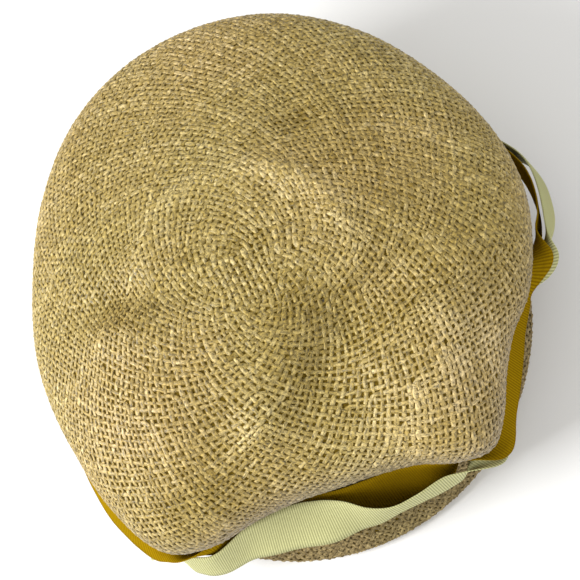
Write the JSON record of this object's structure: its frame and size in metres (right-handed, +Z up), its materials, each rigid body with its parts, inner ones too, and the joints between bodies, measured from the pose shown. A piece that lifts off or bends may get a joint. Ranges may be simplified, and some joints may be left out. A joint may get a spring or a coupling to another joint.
{
  "type": "pillbox hat",
  "caption": "Bubble-crowned pillbox hat: a soft, dented woven-straw crown over a straw cuff, with two grosgrain ribbons twisted loosely together round its waist.",
  "frame": {"origin": "on the surface the hat stands on, under the middle of the hat's bounding box", "axes": "+Z up through the crown, -Y towards the hat's front (the dented side with the lowered ribbons), +X to the right seen from the front; the hat stands on its cuff's rim"},
  "size_m": [0.2277, 0.2227, 0.1003],
  "materials": {
    "crown_straw": "natural straw in an open plain weave, slightly glossy fibres",
    "cuff_straw": "the same woven straw, greyer and more closely woven",
    "mustard_grosgrain": "mustard grosgrain ribbon, fine cross ribs, satin sheen",
    "pale_grosgrain": "pale yellow-green grosgrain ribbon, fine cross ribs, satin sheen"
  },
  "bodies": {
    "root": {"crown": "crown_straw", "cuff": "cuff_straw", "ribbon_mustard": "mustard_grosgrain", "ribbon_pale": "pale_grosgrain"}
  },
  "joints": []
}
